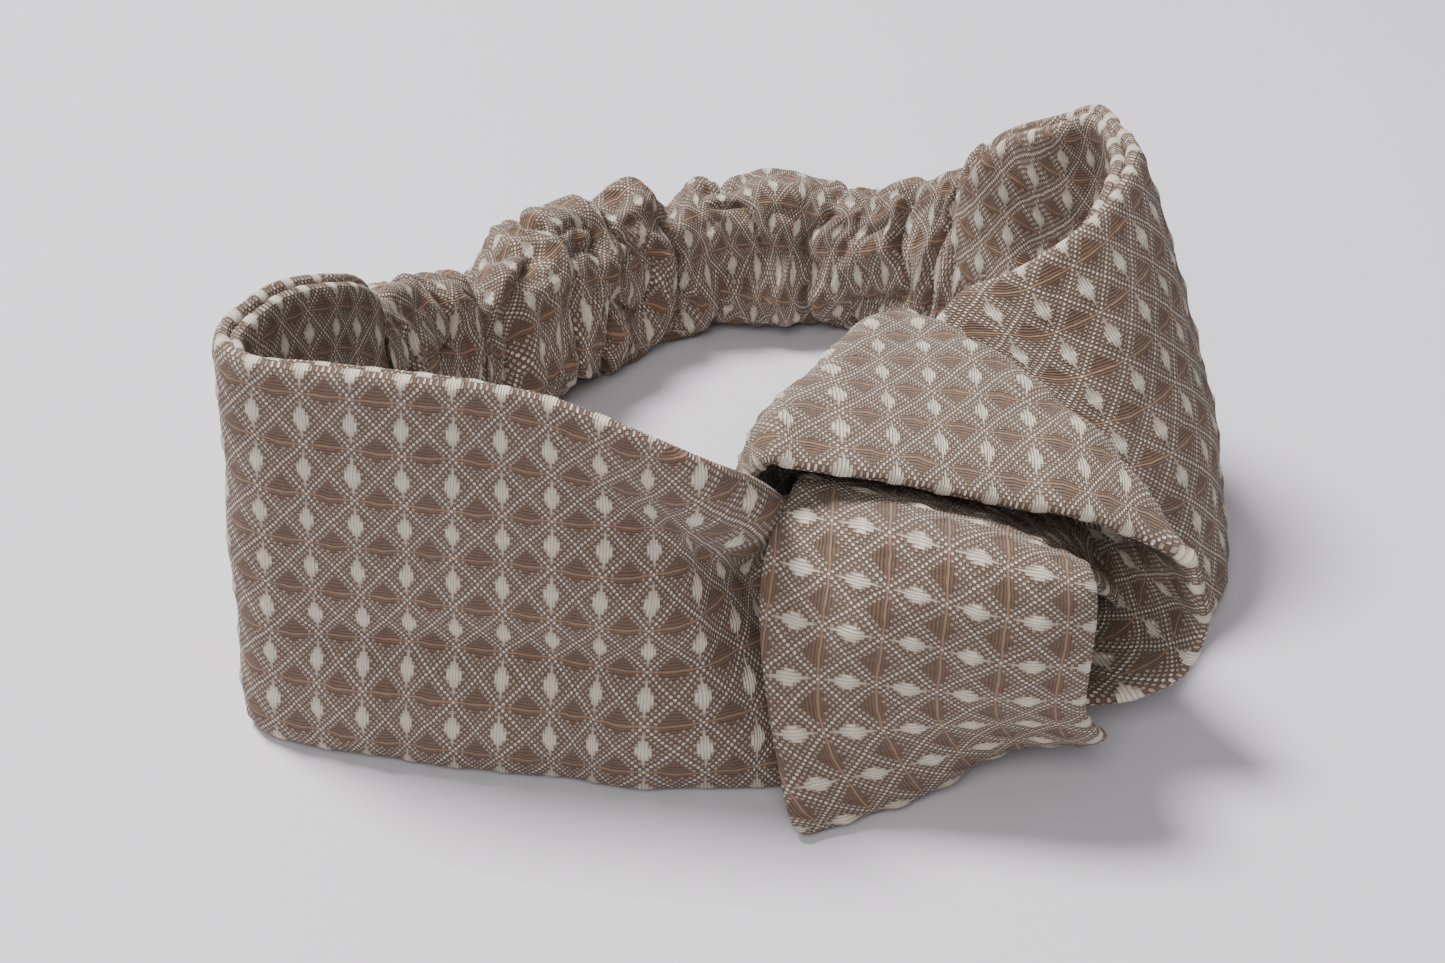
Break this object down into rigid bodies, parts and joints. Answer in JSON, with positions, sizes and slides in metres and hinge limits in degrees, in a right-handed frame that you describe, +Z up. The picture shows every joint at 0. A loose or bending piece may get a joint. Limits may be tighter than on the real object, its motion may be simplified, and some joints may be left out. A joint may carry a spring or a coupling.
{
  "type": "headband",
  "caption": "Fabric headband with a turban-style twist knot at the front and a gathered elastic casing at the back, standing on its edge.",
  "frame": {"origin": "middle of the headband's outline on the table, under its lower edge", "axes": "+Z up from the table, across the band's width; +Y from the knot towards the elastic; +X to the right seen from the knot side"},
  "size_m": [0.1692, 0.1548, 0.07],
  "materials": {
    "woven_fabric": "dobby weave in brown and cream yarn",
    "elastic": "braided elastic",
    "thread": "sewing thread"
  },
  "bodies": {
    "front": {"left_strip": "woven_fabric", "right_strip": "woven_fabric", "left_strip_seam": "thread", "right_strip_seam": "thread"},
    "back": {"elastic_casing": "woven_fabric", "elastic_band": "elastic", "casing_seam": "thread", "left_join_stitching": "thread", "right_join_stitching": "thread", "left_elastic_tack": "thread", "right_elastic_tack": "thread"}
  },
  "joints": [
    {"name": "back_stretch", "type": "slide", "parent": "front", "child": "back", "axis": [0, 1, 0], "range_m": [0, 0.045], "stiffness_N_per_m": 110}
  ]
}
